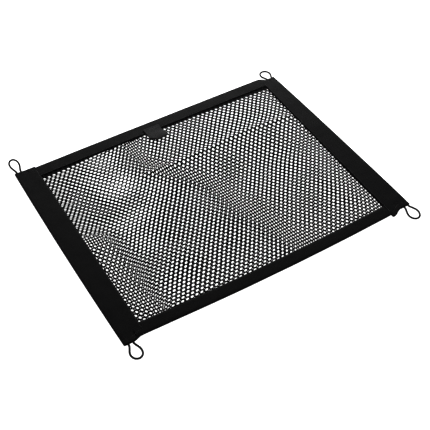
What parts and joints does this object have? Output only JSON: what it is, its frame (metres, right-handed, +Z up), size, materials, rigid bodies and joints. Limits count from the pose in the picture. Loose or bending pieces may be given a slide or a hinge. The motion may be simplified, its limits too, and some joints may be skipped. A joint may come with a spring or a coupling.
{
  "type": "mesh cargo net",
  "caption": "Flat two-layer knitted mesh cargo net, bound with folded cloth bands, with an open mouth, a pull tab and an elastic cord loop at each corner.",
  "frame": {"origin": "on the floor under the middle of the net", "axes": "+X along the long bands, +Y from the bottom band to the mouth, +Z up from the surface the net lies on"},
  "size_m": [0.5654, 0.4751, 0.011],
  "materials": {
    "knitted_mesh": "open warp-knitted polyester mesh, matte",
    "band_cloth": "plain-woven polyester cloth, matte",
    "tab_cloth": "folded woven cloth, matte",
    "elastic_cord": "braided elastic shock cord",
    "thread": "bonded polyester sewing thread"
  },
  "bodies": {
    "net": {"upper_mesh": "knitted_mesh", "lower_mesh": "knitted_mesh", "upper_mouth_band": "band_cloth", "lower_mouth_band": "band_cloth", "bottom_band": "band_cloth", "left_side_band": "band_cloth", "right_side_band": "band_cloth", "pull_tab_root": "tab_cloth", "back_left_cord_ends": "elastic_cord", "back_right_cord_ends": "elastic_cord", "front_left_cord_ends": "elastic_cord", "front_right_cord_ends": "elastic_cord", "left_side_stitching": "thread", "right_side_stitching": "thread", "upper_mouth_stitching": "thread", "lower_mouth_stitching": "thread", "bottom_stitching": "thread", "end_hem_stitching": "thread", "tab_stitching": "thread"},
    "back_left_loop": {"back_left_loop": "elastic_cord"},
    "back_right_loop": {"back_right_loop": "elastic_cord"},
    "front_left_loop": {"front_left_loop": "elastic_cord"},
    "front_right_loop": {"front_right_loop": "elastic_cord"},
    "pull_tab": {"pull_tab": "tab_cloth"}
  },
  "joints": [
    {"name": "back_left_loop_swing", "type": "hinge", "parent": "net", "child": "back_left_loop", "pos_m": [-0.271, 0.2071, 0.0023], "axis": [1, 0, 0], "range_deg": [-90, 90], "stiffness_Nm_per_rad": 0.002},
    {"name": "back_right_loop_swing", "type": "hinge", "parent": "net", "child": "back_right_loop", "pos_m": [0.271, 0.2071, 0.0023], "axis": [1, 0, 0], "range_deg": [-90, 90], "stiffness_Nm_per_rad": 0.002},
    {"name": "front_left_loop_swing", "type": "hinge", "parent": "net", "child": "front_left_loop", "pos_m": [-0.271, -0.2071, 0.0023], "axis": [-1, 0, 0], "range_deg": [-90, 90], "stiffness_Nm_per_rad": 0.002},
    {"name": "front_right_loop_swing", "type": "hinge", "parent": "net", "child": "front_right_loop", "pos_m": [0.271, -0.2071, 0.0023], "axis": [-1, 0, 0], "range_deg": [-90, 90], "stiffness_Nm_per_rad": 0.002},
    {"name": "pull_tab_lift", "type": "hinge", "parent": "net", "child": "pull_tab", "pos_m": [-0.014, 0.178, 0.00495], "axis": [-1, 0, 0], "range_deg": [0, 150]}
  ]
}
